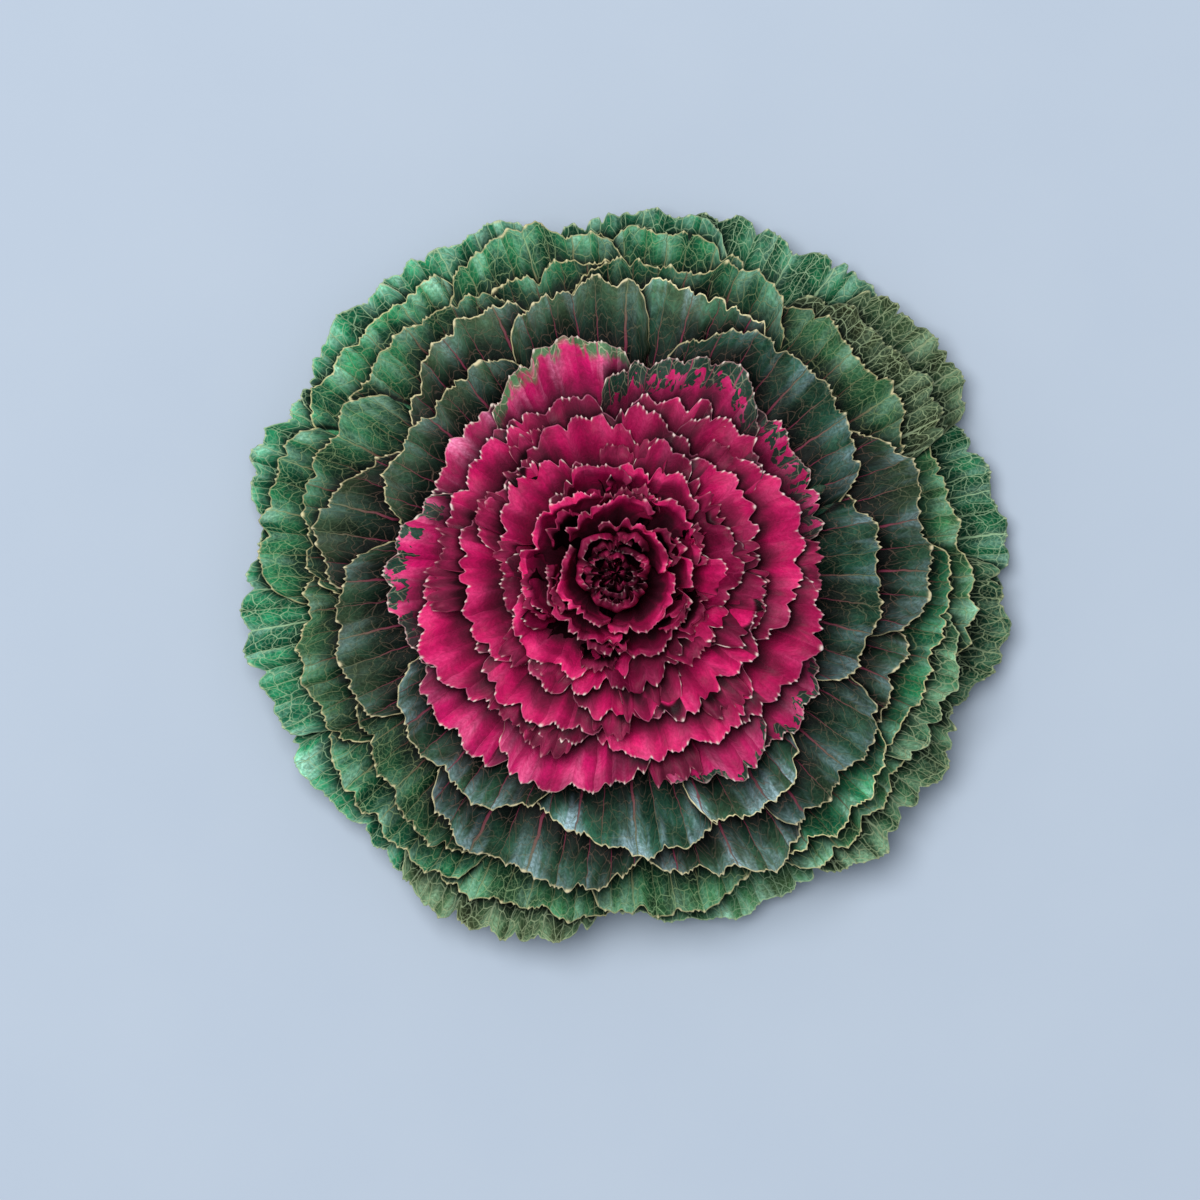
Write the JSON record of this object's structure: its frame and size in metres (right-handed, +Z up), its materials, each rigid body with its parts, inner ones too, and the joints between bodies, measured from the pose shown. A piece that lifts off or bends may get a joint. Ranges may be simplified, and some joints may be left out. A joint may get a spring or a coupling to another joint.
{
  "type": "ornamental kale plant",
  "caption": "Cut head of ornamental kale: a flat rosette of frilled green, dark and magenta leaves round a short stump, resting on its cut face.",
  "frame": {"origin": "centre of the stump's cut face, on the surface that the plant rests on", "axes": "+Z up along the stump, away from the surface; +X and +Y across the rosette, with +X towards its longest netted outer leaf"},
  "size_m": [0.3016, 0.2876, 0.1063],
  "materials": {
    "green_leaf": "Green waxy leaf with pale raised veins and a cream toothed margin",
    "netted_leaf": "Olive crinkled leaf with a dense pale net of veins",
    "dark_leaf": "Blackish blue-green leaf with a grey bloom, red veins and a cream margin",
    "mixed_leaf": "Magenta leaf with dark green blotches at its toothed margin",
    "heart_leaf": "Satin magenta leaf, wine red at its base, with a pale beaded margin",
    "cut_stem": "Pale green woody stem with leaf scars and a cream cut face"
  },
  "bodies": {
    "root": {"stump": "cut_stem", "outer_leaf_1": "green_leaf", "outer_leaf_3": "green_leaf", "outer_leaf_5": "green_leaf", "outer_leaf_7": "green_leaf", "outer_leaf_9": "green_leaf", "outer_leaf_11": "green_leaf", "outer_leaf_13": "netted_leaf", "outer_leaf_2": "netted_leaf", "outer_leaf_4": "green_leaf", "outer_leaf_6": "green_leaf", "outer_leaf_8": "green_leaf", "outer_leaf_10": "netted_leaf", "outer_leaf_12": "netted_leaf", "green_leaf_2": "green_leaf", "green_leaf_5": "green_leaf", "green_leaf_6": "green_leaf", "green_leaf_8": "green_leaf", "green_leaf_10": "green_leaf", "green_leaf_1": "green_leaf", "green_leaf_4": "green_leaf", "green_leaf_7": "green_leaf", "green_leaf_9": "green_leaf", "green_leaf_3": "netted_leaf", "green_leaf_11": "netted_leaf", "middle_leaf_6": "green_leaf", "middle_leaf_3": "green_leaf", "middle_leaf_8": "green_leaf", "middle_leaf_1": "green_leaf", "middle_leaf_4": "green_leaf", "middle_leaf_7": "green_leaf", "middle_leaf_2": "green_leaf", "middle_leaf_5": "green_leaf", "dark_leaf_7": "dark_leaf", "dark_leaf_11": "dark_leaf", "dark_leaf_9": "dark_leaf", "dark_leaf_5": "dark_leaf", "dark_leaf_4": "dark_leaf", "dark_leaf_2": "dark_leaf", "dark_leaf_8": "dark_leaf", "dark_leaf_6": "dark_leaf", "dark_leaf_1": "dark_leaf", "dark_leaf_3": "dark_leaf", "dark_leaf_10": "dark_leaf", "dark_leaf_16": "dark_leaf", "dark_leaf_14": "dark_leaf", "dark_leaf_13": "dark_leaf", "dark_leaf_15": "dark_leaf", "dark_leaf_17": "dark_leaf", "dark_leaf_12": "dark_leaf", "mixed_leaf_2": "mixed_leaf", "mixed_leaf_7": "mixed_leaf", "mixed_leaf_8": "mixed_leaf", "mixed_leaf_4": "mixed_leaf", "mixed_leaf_1": "mixed_leaf", "mixed_leaf_3": "mixed_leaf", "mixed_leaf_6": "mixed_leaf", "mixed_leaf_9": "mixed_leaf", "mixed_leaf_5": "mixed_leaf", "heart": "heart_leaf"}
  },
  "joints": []
}
